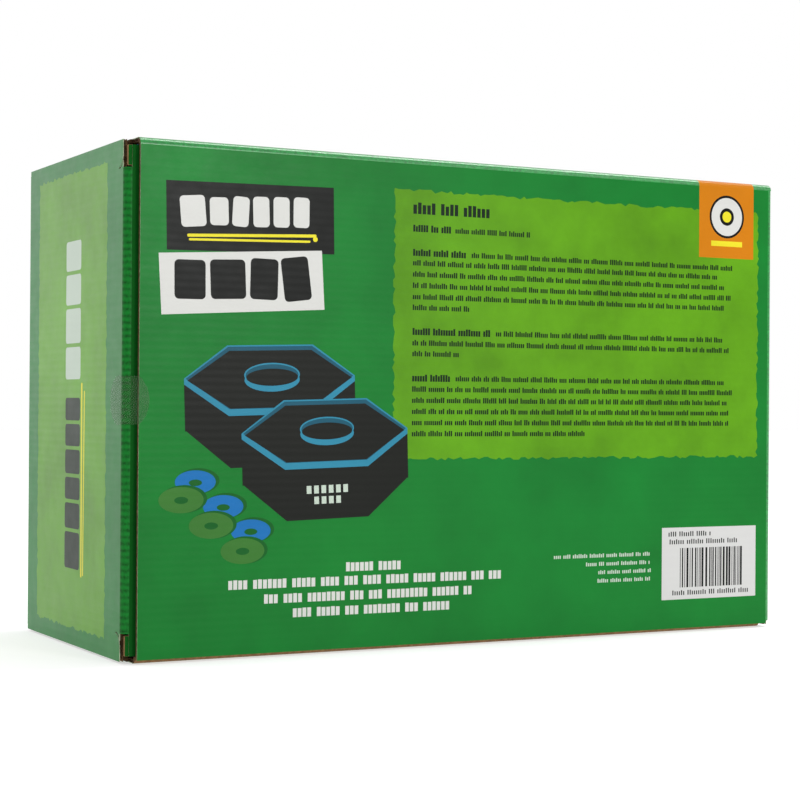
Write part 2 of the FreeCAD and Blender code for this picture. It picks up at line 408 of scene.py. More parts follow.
def paint(name, colour):
    """Powder-coated steel with fine orange peel and rubbed spots."""
    finish, tree, shader, where = start_finish(name, 0.34, 0.5)
    shader.inputs["Coat Weight"].default_value = 0.25
    shader.inputs["Coat Roughness"].default_value = 0.18
    wear = grain(tree, where, 75, 6, 0.6)
    tint = blend_colours(tree, wear, (0.35, shade(colour, 0.85)), (0.6, colour), (0.75, shade(colour, 1.25)))
    tree.links.new(tint, shader.inputs["Base Color"])
    raise_surface(tree, shader, grain(tree, where, 900, 2), 0.03 * MM)
    return finish


def film(name):
    """Clear seal film, faintly wrinkled."""
    finish, tree, shader, where = start_finish(name, 0.22, 0.5)
    haze = grain(tree, where, 160, 3)
    tree.links.new(
        blend_colours(tree, haze, (0.3, (0.05, 0.13, 0.045)), (0.7, (0.08, 0.17, 0.07))),
        shader.inputs["Base Color"],
    )
    shader.inputs["Alpha"].default_value = 0.14
    raise_surface(tree, shader, grain(tree, where, 70, 2), 0.25 * MM)
    return finish


GREEN = (0.0036, 0.172, 0.021)
# A lighter green painted on the outer folds as a highlight along them.
FOLD_HIGHLIGHT_GREEN = (0.012, 0.29, 0.05)
RIB_PITCH = 2.6 * MM
# A darker green painted on the tuck and dust flap creases as the shade they lie in.
CREASE_SHADE_GREEN = (0.003, 0.13, 0.014)
LIME = (0.097, 0.296, 0.004)
NIGHT = (0.0032, 0.004, 0.003)
WHITE = screen_colour(206, 206, 202)
YELLOW = screen_colour(222, 210, 40)
CLOTH_BLACK = (0.02, 0.021, 0.02)
WEAVE = 0.7 * MM

green_print = printed("green_print", GREEN)
green_print_flat = printed("green_print_flat", GREEN, "Y")
end_green_print = printed("end_green_print", GREEN, specular=0.22, flute_depth=0.05)
end_lime_ink = printed("end_lime_ink", LIME, mottle=0.2, specular=0.22, flute_depth=0.05)
# Crease ink: real cracks and crushed flute lines over a base green darkened as painted shade.
shaded_crease_print = cracked_ink("shaded_crease_print", CREASE_SHADE_GREEN, 0.4, 0.12, 0.3)
# Fold ink: real cracks over a base green lightened as a painted highlight.
highlit_fold_print = cracked_ink("highlit_fold_print", FOLD_HIGHLIGHT_GREEN, 0.3, 0.75, 0.05)
# The tuck flap's green is painted darker, as the shade of its recess behind the front panel's edge.
tuck_painted_shade = printed("tuck_painted_shade", (0.003, 0.085, 0.008), roughness=0.6, specular=0.04)
kraft = paper("kraft", screen_colour(150, 116, 78), screen_colour(112, 82, 52))
# Fluting medium, cut edges and crease sides: kraft paper darkened as painted shade for the shadowed gaps
# between the board's layers.
shaded_kraft = paper("shaded_kraft", screen_colour(96, 72, 46), screen_colour(64, 46, 28))
cut_edge = paper("cut_edge", screen_colour(196, 206, 176), screen_colour(120, 132, 98))
lime_ink = printed("lime_ink", LIME, mottle=0.24)
lime_ink_flat = printed("lime_ink_flat", LIME, "Y", mottle=0.2)
black_ink = printed("black_ink", NIGHT, mottle=0.2)
black_ink_flat = printed("black_ink_flat", NIGHT, "Y", mottle=0.2)
white_ink = printed("white_ink", WHITE, mottle=0.02)
white_ink_flat = printed("white_ink_flat", WHITE, "Y", mottle=0.02)
soft_white_ink = printed("soft_white_ink", screen_colour(186, 200, 186), mottle=0.03)
label_paper = printed("label_paper", screen_colour(203, 202, 201), mottle=0.01, roughness=0.3)
text_ink = printed("text_ink", screen_colour(8, 32, 12), mottle=0.1)
yellow_ink = printed("yellow_ink", YELLOW, mottle=0.06)
yellow_ink_flat = printed("yellow_ink_flat", YELLOW, "Y", mottle=0.06)
orange_ink = printed("orange_ink", screen_colour(198, 118, 4), mottle=0.05)
drawn_black = printed("drawn_black", screen_colour(20, 22, 18), mottle=0.12)
drawn_rim = printed("drawn_rim", screen_colour(44, 128, 156), mottle=0.08)
drawn_rim_inside = printed("drawn_rim_inside", screen_colour(24, 82, 102), mottle=0.08)
drawn_blue = printed("drawn_blue", screen_colour(22, 106, 172), mottle=0.08)
drawn_olive = printed("drawn_olive", screen_colour(56, 114, 44), mottle=0.1)
drawn_shadow = printed("drawn_shadow", (0.003, 0.1, 0.012), mottle=0.1)
seal_film = film("seal_film")
black_wall_cloth = cloth("black_wall_cloth", CLOTH_BLACK, "XZ", WEAVE)
black_floor_cloth = cloth("black_floor_cloth", CLOTH_BLACK, "XY", WEAVE)
blue_tape = cloth("blue_tape", (0.035, 0.19, 0.36), "ZX", 0.9 * MM, 0.7)
blue_paint = paint("blue_paint", (0.02, 0.12, 0.55))
green_paint = paint("green_paint", (0.05, 0.30, 0.04))


def coat(piece, finish):
    """Gives a piece one finish all over."""
    piece.data.materials.clear()
    piece.data.materials.append(finish)
    return piece


# Corrugated board


def fluting(name, u, v, along_u):
    """The sine medium between the liners: one flute, repeated, given a thickness and trimmed."""
    low, high = LINER + MEDIUM / 2, FACE_TOP - LINER - MEDIUM / 2
    run, across = (u, v) if along_u else (v, u)
    length, reach = run[1] - run[0], across[1] - across[0]
    bpy.ops.object.select_all(action="DESELECT")
    bpy.ops.mesh.primitive_grid_add(x_subdivisions=1, y_subdivisions=4, size=1)
    sheet = sized((length, FLUTE, 1))
    quarter = FLUTE / 8
    pick(sheet, "VERT", lambda at: abs(at.y) < quarter)
    bpy.ops.transform.translate(value=(0, 0, high - low))
    put_down()
    pick(sheet, "VERT", lambda at: quarter < abs(at.y) < 3 * quarter)
    bpy.ops.transform.translate(value=(0, 0, (high - low) / 2))
    put_down()
    repeat = sheet.modifiers.new("flutes", "ARRAY")
    repeat.use_relative_offset = False
    repeat.use_constant_offset = True
    repeat.constant_offset_displace = (0, FLUTE, 0)
    repeat.count = math.ceil(reach / FLUTE) + 1
    repeat.use_merge_vertices = True
    repeat.merge_threshold = HAIR
    rounding = sheet.modifiers.new("rounding", "SUBSURF")
    rounding.levels = rounding.render_levels = 1
    body = sheet.modifiers.new("body", "SOLIDIFY")
    body.thickness = MEDIUM
    body.offset = 0
    apply_all(sheet)
    sheet.location = ((run[0] + run[1]) / 2, across[0] + FLUTE / 2, low)
    settle(sheet)
    trim(sheet, (0, across[0] + 0.02 * MM, 0), (0, -1, 0))
    trim(sheet, (0, across[1] - 0.02 * MM, 0), (0, 1, 0))
    if not along_u:
        sheet.rotation_euler = (0, 0, QUARTER)
        settle(sheet)
        sheet.location = (across[0] + across[1], 0, 0)
        settle(sheet)
    sheet.data.materials.append(shaded_kraft)
    sheet.name = name
    return sheet


def rolled_edge(side, at, low, high, print_finish):
    """A crease: the board rolled a quarter turn inward along one of its edges."""
    tall = FACE_TOP
    middle = (low + high) / 2
    by_u = side[0] == "u"
    centre = (at, middle, tall / 2) if by_u else (middle, at, tall / 2)
    lean = (0, QUARTER, 0) if by_u else (QUARTER, 0, 0)
    size = (tall, high - low, 1) if by_u else (high - low, tall, 1)
    bpy.ops.object.select_all(action="DESELECT")
    bpy.ops.mesh.primitive_plane_add(size=1, location=centre, rotation=lean)
    roll = sized(size)
    pivot = Vector((at, 0, BOARD - FOLD_R)) if by_u else Vector((0, at, BOARD - FOLD_R))
    axis = (0, 1, 0) if by_u else (1, 0, 0)
    way = -1 if side in ("u+", "v-") else 1
    bpy.ops.object.mode_set(mode="EDIT")
    bpy.ops.mesh.select_all(action="SELECT")
    bpy.ops.mesh.spin(steps=12, dupli=False, angle=way * QUARTER, center=pivot, axis=axis)
    put_down()
    face_out(roll)
    for finish in (shaded_kraft, print_finish, kraft):
        roll.data.materials.append(finish)
    outer, inner = FOLD_R - 0.4 * MM, FOLD_R - BOARD + 0.2 * MM
    for face in roll.data.polygons:
        out = face.center - pivot
        reach = math.hypot(out.x if by_u else out.y, out.z)
        sideways = abs(face.normal.y if by_u else face.normal.x)
        if sideways < 0.5 and reach > outer:
            face.material_index = 1
        elif sideways < 0.5 and reach < inner:
            face.material_index = 2
    return smooth(roll)


def liner_cut(sheet, cutter):
    """Cuts a slit through one layer of the board."""
    cut = sheet.modifiers.new("slit", "BOOLEAN")
    cut.operation = "DIFFERENCE"
    cut.solver = "EXACT"
    cut.object = cutter
    apply_all(sheet)


def board(name, u, v, along_u=True, trims=(), rolls=(), slits=(), print_finish=None):
    """One panel of the carton, lying face up on the bench."""
    face = block(name + "_face", (u[0], v[0], FACE_TOP - LINER), (u[1], v[1], FACE_TOP))
    lining = block(name + "_lining", (u[0], v[0], 0), (u[1], v[1], LINER))
    medium = fluting(name + "_medium", u, v, along_u)
    for layer in (face, lining, medium):
        for point, normal in trims:
            trim(layer, point, normal)
        for cutter in slits:
            liner_cut(layer, cutter)
    for finish in (cut_edge, print_finish or green_print):
        face.data.materials.append(finish)
    for side in face.data.polygons:
        side.material_index = 1 if side.normal.z > SQUARE_ON else 0
    for finish in (shaded_kraft, kraft):
        lining.data.materials.append(finish)
    for side in lining.data.polygons:
        side.material_index = 1 if abs(side.normal.z) > SQUARE_ON else 0
    smooth(medium)
    for cutter in slits:
        bpy.data.objects.remove(cutter)
    return joined(name, [face, lining, medium] + [rolled_edge(*roll) for roll in rolls])


def hook_cutter(level, centre, way):
    """The hooked end of a slit, as the quarter ring that a cutting rule leaves."""
    low, high = HOOK_R - SLIT_WIDTH / 2, HOOK_R + SLIT_WIDTH / 2
    bpy.ops.object.select_all(action="DESELECT")
    bpy.ops.mesh.primitive_plane_add(
        size=1, location=(centre + (low + high) / 2, level, 0), rotation=(QUARTER, 0, 0)
    )
    cutter = sized((high - low, 4 * BOARD, 1))
    bpy.ops.object.mode_set(mode="EDIT")
    bpy.ops.mesh.select_all(action="SELECT")
    bpy.ops.mesh.spin(steps=10, dupli=False, angle=-way * QUARTER, center=(centre, level, 0), axis=(0, 0, 1))
    put_down()
    return face_out(cutter)


def root_board(piece, placing, node):
    """A panel of the sleeve, which doesn't move."""
    place(piece, placing)
    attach(piece, "root")
    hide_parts(node)


def hinged_board(piece, placing, node):
    """A flap with its crease, put at its own place with that place baked into its mesh."""
    place(piece, placing)
    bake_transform(piece)
    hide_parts(node)


def sleeve():
    """The five panels that wrap round the contents."""
    right_fold, left_cut = -END_CREASE, MOUTH_EDGE
    front = board("front_board", (left_cut, right_fold), (BOARD, TOP_CREASE))
    root_board(front, FRONT_BENCH, "front_panel")
    back = board("back_board", (left_cut, right_fold), (BASE_CREASE, TOP_CREASE))
    root_board(back, BACK_BENCH, "back_panel")
    across = (DUST_CREASE, -DUST_CREASE)
    top_front = (DUST_CREASE, right_fold + CORNER_REACH)
    top_rolls = (("v-", FRONT_CREASE, *top_front, highlit_fold_print), ("v+", BACK_CREASE, *across, highlit_fold_print))
    top = board(
        "top_board", across, (FRONT_CREASE, BACK_CREASE), rolls=top_rolls, print_finish=green_print_flat
    )
    root_board(top, TOP_BENCH, "top_panel")
    base_rolls = (("v-", -BACK_CREASE, *across, highlit_fold_print), ("v+", -GLUE_CREASE, *across, kraft))
    base = board(
        "bottom_board", across, (-BACK_CREASE, -GLUE_CREASE), rolls=base_rolls, print_finish=green_print_flat
    )
    root_board(base, BOTTOM_BENCH, "bottom_panel")
    low, high = BASE_CREASE, BASE_CREASE + GLUE_DEPTH
    cuts = (
        ((GLUE_LEFT, low, 0), (-1, GLUE_TAPER, 0)),
        ((GLUE_RIGHT, low, 0), (1, GLUE_TAPER, 0)),
    )
    glue = board("glue_board", (GLUE_LEFT, GLUE_RIGHT), (low, high), trims=cuts)
    root_board(glue, GLUE_BENCH, "glue_flap")


def closure(side):
    """One end of the carton: the end panel, its tuck flap, and two dust flaps."""
    turn = Matrix.Identity(4) if side == "left" else HALF_ROUND
    hook = -TUCK_CREASE - HOOK_R
    slits = [hook_cutter(SLIT_HIGH + HOOK_R, hook, -1), hook_cutter(SLIT_LOW - HOOK_R, hook, 1)]
    panel = board(
        side + "_end_board",
        (-BACK_CREASE, -TUCK_CREASE),
        (END_LOW, END_HIGH),
        rolls=(("u-", -BACK_CREASE, BASE_CREASE, TOP_CREASE, highlit_fold_print),),
        slits=slits,
        print_finish=end_green_print,
    )
    hinged_board(
        panel,
        turn @ END_BENCH,
        side + "_end_panel",
    )
    tip = END_CREASE + TUCK_DEPTH
    corners = []
    for level, way in ((TUCK_HIGH, 1), (TUCK_LOW, -1)):
        centre = Vector((tip - TUCK_CORNER_R, level - way * TUCK_CORNER_R, 0))
        for step in range(1, 8):
            angle = QUARTER * step / 8
            out = Vector((math.cos(angle), way * math.sin(angle), 0))
            corners.append((centre + TUCK_CORNER_R * out, out))
    # The tuck flap and its ears carry the darker green painted as the shade of their recess.
    tuck = board(
        side + "_tuck_board",
        (END_CREASE, tip),
        (TUCK_LOW, TUCK_HIGH),
        trims=corners,
        rolls=(("u-", END_CREASE, SLIT_LOW, SLIT_HIGH, shaded_crease_print),),
        print_finish=tuck_painted_shade,
    )
    ears = []
    for low, high in ((TUCK_LOW, SLIT_LOW - SLIT_WIDTH), (SLIT_HIGH + SLIT_WIDTH, TUCK_HIGH)):
        ear = block("ear", (END_CREASE - EAR, low, 0), (END_CREASE, high, FACE_TOP))
        for finish in (kraft, tuck_painted_shade):
            ear.data.materials.append(finish)
        for side_face in ear.data.polygons:
            side_face.material_index = 1 if side_face.normal.z > SQUARE_ON else 0
        ears.append(soften(ear, 0.3 * MM))
    tuck = joined(side + "_tuck_board", [tuck] + ears)
    hinged_board(
        tuck,
        turn @ TUCK_BENCH,
        side + "_tuck_flap",
    )
    for flap, level, way in (("upper", TOP_CREASE, -1), ("lower", BASE_CREASE, 1)):
        far = level + way * DUST_DEPTH
        edges = (
            ((-DUST_BACK, level, 0), (-1, way * DUST_BACK_TAPER, 0)),
            ((-DUST_FRONT, level, 0), (1, way * DUST_FRONT_TAPER, 0)),
        )
        dust = board(
            f"{side}_{flap}_dust_board",
            (-DUST_BACK, -DUST_FRONT),
            (min(level, far), max(level, far)),
            along_u=False,
            trims=edges,
            rolls=(("v+" if way < 0 else "v-", level, -DUST_BACK, -DUST_FRONT, shaded_crease_print),),
            print_finish=green_print_flat,
        )
        hinged_board(
            dust,
            turn @ DUST_BENCH,
            f"{side}_{flap}_dust_flap",
        )


# The printing. Inks are thin closed layers on the board; a higher layer is printed over a lower one.


def ink_levels(layer):
    """How far an ink stands: the middle and the thickness of its layer."""
    foot, head = FACE_TOP + INK_FOOT, FACE_TOP + INK_FOOT + INK_STEP * layer
    return (foot + head) / 2, head - foot


def bar(u, v, width, height, layer, tilt=0.0):
    """A straight-edged printed mark, given by its centre and size in millimetres."""
    middle, thick = ink_levels(layer)
    bpy.ops.object.select_all(action="DESELECT")
    bpy.ops.mesh.primitive_cube_add(
        size=1,
        location=(u * MM, v * MM, middle),
        rotation=(0, 0, math.radians(tilt)),
        scale=(width * MM, height * MM, thick),
    )
    return settle(bpy.context.active_object)


def pill(u, v, width, height, layer, tilt=0.0, corner=1.0):
    """A printed mark with rounded corners."""
    mark = bar(u, v, width, height, layer, tilt)
    return soften(mark, corner * MM, 4, lambda middle, run: abs(run.z) > SQUARE_ON * run.length)


def round_mark(u, v, width, height, layer, corners=40, turn=0.0):
    """A printed disc, oval or polygon."""
    middle, thick = ink_levels(layer)
    bpy.ops.object.select_all(action="DESELECT")
    bpy.ops.mesh.primitive_cylinder_add(
        vertices=corners,
        radius=0.5,
        depth=1,
        location=(u * MM, v * MM, middle),
        rotation=(0, 0, math.radians(turn)),
        scale=(width * MM, height * MM, thick) if not turn else (height * MM, width * MM, thick),
    )
    return settle(bpy.context.active_object)


def brushed_field(u, v, layer, seed):
    """A field of colour with rough brushed edges."""
    middle, thick = ink_levels(layer)
    width, height = u[1] - u[0], v[1] - v[0]
    grain_size = 1.9
    bpy.ops.object.select_all(action="DESELECT")
    bpy.ops.mesh.primitive_grid_add(
        x_subdivisions=round(width / grain_size),
        y_subdivisions=round(height / grain_size),
        size=1,
        location=((u[0] + u[1]) / 2 * MM, (v[0] + v[1]) / 2 * MM, middle),
    )
    field = sized((width * MM, height * MM, 1))
    inside_u = width / 2 * MM - 0.2 * MM
    inside_v = height / 2 * MM - 0.2 * MM
    centre = Vector(((u[0] + u[1]) / 2 * MM, (v[0] + v[1]) / 2 * MM, 0))
    pick(
        field,
        "VERT",
        lambda at: abs(at.x - centre.x) > inside_u or abs(at.y - centre.y) > inside_v,
    )
    bpy.ops.transform.vertex_random(offset=0.75 * MM, uniform=1, seed=seed)
    bpy.ops.mesh.select_all(action="SELECT")
    bpy.ops.transform.resize(value=(1, 1, 0))
    put_down()
    body = field.modifiers.new("body", "SOLIDIFY")
    body.thickness = thick
    body.offset = 0
    return apply_all(field)


def small_print(lines, tall, layer, dice, bar_width=0.58, pitch=0.88, rise=0.2):
    """Lines of unreadable print: rows of bars with gaps between words. A line is (left, level, right)."""
    rows = []
    for left, level, right in lines:
        row = bar(left + bar_width / 2, level - tall * rise / 2, bar_width, tall * (1 - rise), layer)
        repeat = row.modifiers.new("letters", "ARRAY")
        repeat.use_relative_offset = False
        repeat.use_constant_offset = True
        repeat.constant_offset_displace = (pitch * MM, 0, 0)
        count = max(2, int((right - left) / pitch))
        repeat.count = count
        apply_all(row)
        gaps, at = set(), dice.randint(3, 7)
        while at < count:
            gaps.add(at)
            at += dice.randint(4, 10)
        talls = {index for index in range(count) if dice.random() < 0.35}

        def index_of(x):
            return round((x / MM - left - bar_width / 2) / pitch)

        pick(row, "VERT", lambda at: index_of(at.x) in talls and at.y > level * MM)
        bpy.ops.transform.translate(value=(0, tall * rise * MM, 0))
        put_down()
        pick(row, "VERT", lambda at: index_of(at.x) in gaps)
        bpy.ops.mesh.delete(type="VERT")
        put_down()
        rows.append(row)
    return rows


def press(name, marks, finish, placing, body):
    """Joins the marks of one ink on one face, and prints them there."""
    sheet = joined(name, marks)
    place(sheet, placing)
    coat(sheet, finish)
    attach(sheet, body)


def headline(centre_left, centre_right, height, widths, layer, tilt, corner):
    """A heading as a row of bold hand-cut blocks of different widths."""
    dice = random.Random(len(widths))
    gap = 2.0
    total = sum(widths) + gap * (len(widths) - 1)
    span = centre_right[0] - centre_left[0]
    stretch = span / total
    marks, at = [], centre_left[0]
    for width in widths:
        wide = width * stretch
        middle = at + wide / 2
        along = (middle - centre_left[0]) / span
        level = centre_left[1] + along * (centre_right[1] - centre_left[1])
        lean = tilt + dice.uniform(-5, 5)
        marks.append(pill(middle, level, wide, height * dice.uniform(0.86, 1.04), layer, lean, corner))
        at += wide + gap * stretch
    return marks


def drawn_target(u, v, first):
    """A picture of one opened target, seen from above its rim."""
    wide, deep, tall, foot_deep = 74.8, 29.7, 20.7, 35.0
    hexagon = dict(corners=6, turn=90.0)
    black = [
        round_mark(u, v, wide, deep, first, **hexagon),
        bar(u, v - tall / 2, wide, tall, first + 0.2),
        round_mark(u, v - tall, wide * 0.985, foot_deep, first + 0.4, **hexagon),
    ]
    blue = [
        round_mark(u, v, wide, deep, first + 1, **hexagon),
        round_mark(u, v - 2.3, wide, deep, first + 1.2, **hexagon),
        bar(u, v - 1.15, wide, 2.3, first + 1.1),
    ]
    inside = [round_mark(u, v - 0.1, wide - 1.5, deep - 1.1, first + 1.6, **hexagon)]
    hollow = [round_mark(u, v - 0.8, wide - 2.8, deep - 3.2, first + 2.2, **hexagon)]
    blue += [
        round_mark(u + 0.4, v + 0.9, 24.4, 9.6, first + 2.9),
        round_mark(u + 0.4, v - 1.1, 24.2, 9.6, first + 3.0),
    ]
    inside.append(round_mark(u + 0.4, v + 0.8, 23.2, 8.6, first + 3.5))
    hollow.append(round_mark(u + 0.4, v - 0.1, 22.7, 6.9, first + 4))
    return black, blue, inside, hollow


def picture(name, placing, body):
    """The picture of two targets and six washers."""
    parts = {"black": [], "blue": [], "inside": [], "disc": [], "olive": [], "shadow": []}
    for (u, v), first in (((-95.9, 112.7), 1.0), ((-72.0, 90.4), 5.4)):
        black, blue, inside, hollow = drawn_target(u, v, first)
        parts["black"] += black + hollow
        parts["blue"] += blue
        parts["inside"] += inside
    for index in range(3):
        u, v = -128.6 + 11.9 * index, 70.6 - 9.9 * index
        parts["shadow"].append(round_mark(u + 1.3, v + 0.5, 17.8, 9.9, 1.0))
        parts["disc"].append(round_mark(u, v, 17.2, 9.2, 1.8))
        parts["shadow"].append(round_mark(u, v - 0.3, 5.6, 2.6, 2.4))
    for index, (u, v) in enumerate(((-134.5, 63.6), (-121.8, 53.3), (-108.3, 42.9))):
        parts["shadow"].append(round_mark(u + 1.2, v + 0.4, 19.4, 11, 3.0 + index * 0.01))
        parts["olive"].append(round_mark(u, v, 18.9, 10.3, 3.7))
        parts["shadow"].append(round_mark(u, v - 0.1, 5.8, 2.8, 4.3))
    crest = [bar(-80.3 + 3.3 * step, 66.7, 2.1, 3.2, 10.4) for step in range(6)]
    crest += [bar(-77.0 + 3.3 * step, 62.3, 2.1, 3.0, 10.4) for step in range(4)]
    middle = Vector((-84, 98, 0)) * MM
    lean = Matrix.Rotation(math.radians(1.8), 4, "Z")
    leaning = placing @ Matrix.Translation(middle) @ lean @ Matrix.Translation(-middle)
    press(name + "_targets", parts["black"], drawn_black, leaning, body)
    press(name + "_rims", parts["blue"], drawn_rim, leaning, body)
    press(name + "_rim_insides", parts["inside"], drawn_rim_inside, leaning, body)
    press(name + "_crest", crest, soft_white_ink, leaning, body)
    press(name + "_blue_washers", parts["disc"], drawn_blue, placing, body)
    press(name + "_green_washers", parts["olive"], drawn_olive, placing, body)
    press(name + "_shadows", parts["shadow"], drawn_shadow, placing, body)


def title(name, du, dv, placing, flat=False):
    """The two title plates with their block headings."""
    dark = black_ink_flat if flat else black_ink
    pale = white_ink_flat if flat else white_ink
    gold = yellow_ink_flat if flat else yellow_ink
    plates = [bar(-105.2 + du, 175.6 + dv, 72.6, 27.2, 1, 1.0)]
    white = [bar(-108.8 + du, 150.0 + dv, 70.4, 24.0, 1.6, 3.2)]
    white += headline(
        (-135.7 + du, 176.9 + dv), (-80.0 + du, 179.0 + dv), 12.2, (12, 9, 8, 8, 8, 8), 3, 2.0, 1.6
    )
    plates += headline(
        (-138.0 + du, 149.9 + dv), (-79.6 + du, 152.2 + dv), 17.6, (13, 15, 12, 12), 3, 3.2, 1.8
    )
    gold_marks = [
        pill(-104.8 + du, 168.6 + dv, 56, 1.2, 3, 2.4, 0.5),
        pill(-105.8 + du, 166.6 + dv, 52.6, 0.9, 3, 1.6, 0.4),
        round_mark(-77.3 + du, 168.4 + dv, 2.1, 2.1, 3.3, 20),
    ]
    press(name + "_title_dark", plates, dark, placing, "root")
    press(name + "_title_white", white, pale, placing, "root")
    press(name + "_title_gold", gold_marks, gold, placing, "root")


def instructions(name, placing, dice):
    """The block of instructions, as unreadable print."""
    left = -32.2
    bold = [(left, 175.3, -13.7), (left, 165.2, -6.0), (left, 132.2, 6.5), (left, 112.8, -13.1)]
    plain = [(-12.0, 175.2, 26.2), (-4.0, 165.2, 135.1)]
    plain += [(left, level, end) for level, end in ((160.9, 126.8), (156.2, 131.0), (151.5, 134.1))]
    plain += [(left, 146.8, 129.6), (left, 142.3, -4.4), (8.2, 132.2, 129.0)]
    plain += [(left, 127.5, 132.9), (left, 123.0, -9.1), (-11.4, 112.8, 130.4)]
    plain += [(left, 108.2 - 4.65 * row, end) for row, end in enumerate((135.3, 132.5, 132.9, 132.9, 55.5))]
    marks = small_print([(left, 183.7, 5.6)], 4.8, 2, dice, 1.65, 2.2)
    marks += small_print(bold, 2.9, 2, dice, 0.95, 1.22)
    marks += small_print(plain, 2.3, 2, dice, 0.68, 0.98, 0.24)
    press(name, marks, text_ink, placing, "root")


def price_label(placing, dice):
    """The stuck-on label with a made-up bar code."""
    sheet = [bar(122.0, 31.0, 52.8, 32.4, 1.5)]
    press("label_sheet", sheet, label_paper, placing, "root")
    bars, at = [], 105.6
    while at < 141.2:
        width = dice.choice((0.35, 0.35, 0.7, 1.05))
        bars.append(bar(at + width / 2, 29.0, width, 17.8, 2.6))
        at += width + dice.choice((0.4, 0.4, 0.75, 1.1))
    lines = [(99.2, 44.3, 123.4), (99.8, 40.8, 139.1), (101.5, 17.8, 145.5)]
    bars += small_print(lines, 2.2, 2.6, dice, 0.6, 1.2)
    press("label_bars", bars, black_ink, placing, "root")


def front_printing():
    """The front: title, instructions, picture, contents list, notes, label and emblem."""
    dice = random.Random(7)
    field = brushed_field((-40.9, 148.6), (79, 191), 1, 3)
    press("front_lime_field", [field], lime_ink, FRONT_BENCH, "root")
    title("front", 0, 0, FRONT_BENCH)
    instructions("front_instructions", FRONT_BENCH, dice)
    picture("front_picture", FRONT_BENCH, "root")
    lines = [(-62.3, 35.1, -36.3), (-114.3, 29.5, 13.5), (-98.8, 23.4, -0.4), (-86.1, 17.4, -12.7)]
    contents = small_print(lines, 3.7, 1, dice, 1.68, 2.14, 0.04)
    press("front_contents_list", contents, white_ink, FRONT_BENCH, "root")
    lines = [(38.3, 35.9, 90.1), (55.0, 32.2, 90.1), (61.5, 28.5, 90.1), (61.1, 24.8, 90.1)]
    notes = small_print(lines, 1.7, 1, dice, 0.62, 0.98)
    press("front_notes", notes, soft_white_ink, FRONT_BENCH, "root")
    price_label(FRONT_BENCH, dice)
    emblem()


def emblem():
    """A plain ring over a bar, on the orange patch. Each disc is a layer above the last."""
    u, v = 130.7, 188.6
    discs = (("outline", 19.6, 2.6, black_ink), ("ring", 17.4, 3.4, white_ink), ("hole", 8.0, 4.2, black_ink))
    for part, across, layer, ink in discs:
        press("emblem_" + part, [round_mark(u, v, across, across, layer)], ink, FRONT_BENCH, "root")
    yellows = [round_mark(u, v, 5.0, 5.0, 5.0), bar(u, 176.3, 17.6, 2.4, 2.6)]
    press("emblem_yellow", yellows, yellow_ink, FRONT_BENCH, "root")


def corner_patch():
    """The orange patch, printed round the top front fold."""
    low, high = 115.1 * MM, 146.0 * MM
    middle, thick = ink_levels(1.4)
    start = Vector(((low + high) / 2, FRONT_IN - middle, 169.7 * MM))
    bpy.ops.object.select_all(action="DESELECT")
    bpy.ops.mesh.primitive_plane_add(
        size=1,
        location=(start.x, start.y, (start.z + TOP_CREASE) / 2),
        rotation=(QUARTER, 0, 0),
    )
    patch = sized((high - low, TOP_CREASE - start.z, 1))
    pick(patch, "EDGE", lambda at, run: at.z > TOP_CREASE - 0.1 * MM)
    bpy.ops.mesh.spin(
        steps=10, dupli=False, angle=QUARTER, center=(0, FRONT_CREASE, TOP_CREASE), axis=(1, 0, 0)
    )
    bpy.ops.mesh.extrude_region_move(TRANSFORM_OT_translate={"value": (0, 26 * MM, 0)})
    put_down()
    face_out(patch)
    body = patch.modifiers.new("body", "SOLIDIFY")
    body.thickness = thick
    body.offset = 0
    apply_all(patch)
    coat(smooth(patch), orange_ink)
    patch.name = "corner_patch"
    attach(patch, "root")


def end_printing(side):
    """The end panel: a lime field and one long title, reading upward."""
    turn = Matrix.Identity(4) if side == "left" else HALF_ROUND
    placing, body = turn @ END_BENCH, side + "_closure"
    press(side + "_lime_field", [brushed_field((-48.5, 41), (8, 197), 1, 11)], end_lime_ink, placing, body)
    centre = -0.7
    dark, pale = [], []
    at = 32.4
    for tall in (15.2, 10.6, 9.2, 10.0, 9.2, 9.4):
        dark.append(pill(centre, at + tall / 2, 19.2, tall, 2, 0, 1.6))
        at += tall + 1.5
    at = 111.2
    for tall in (13.4, 14.4, 12.6, 12.4):
        pale.append(pill(centre, at + tall / 2, 19.4, tall, 2, 0, 1.6))
        at += tall + 1.6
    press(side + "_title_dark", dark, text_ink, placing, body)
    press(side + "_title_white", pale, soft_white_ink, placing, body)
    gold = [pill(11.2, 69.7, 1.6, 80, 2, 0.4, 0.6), pill(14.0, 68.4, 1.1, 76, 2, -0.5, 0.5)]
    press(side + "_title_gold", gold, yellow_ink, placing, body)


def top_printing():
    """The top: title and a block of small print."""
    dice = random.Random(19)
    press("top_lime_field", [brushed_field((-40, 104), (-50, 50), 1, 23)], lime_ink_flat, TOP_BENCH, "root")
    title("top", 4, -163, TOP_BENCH, flat=True)
    lines = [(-28, 24 - 7 * row, 88 - 9 * (row % 3)) for row in range(7)]
    press("top_small_print", small_print(lines, 3.0, 2, dice, 1.1, 1.8), black_ink_flat, TOP_BENCH, "root")


def back_printing():
    """The back: title, instructions and picture."""
    dice = random.Random(31)
    press("back_lime_field", [brushed_field((-40.9, 148.6), (79, 191), 1, 29)], lime_ink, BACK_BENCH, "root")
    title("back", 0, 0, BACK_BENCH)
    instructions("back_instructions", BACK_BENCH, dice)
    picture("back_picture", BACK_BENCH, "root")


# The targets, folded in half, and the washers


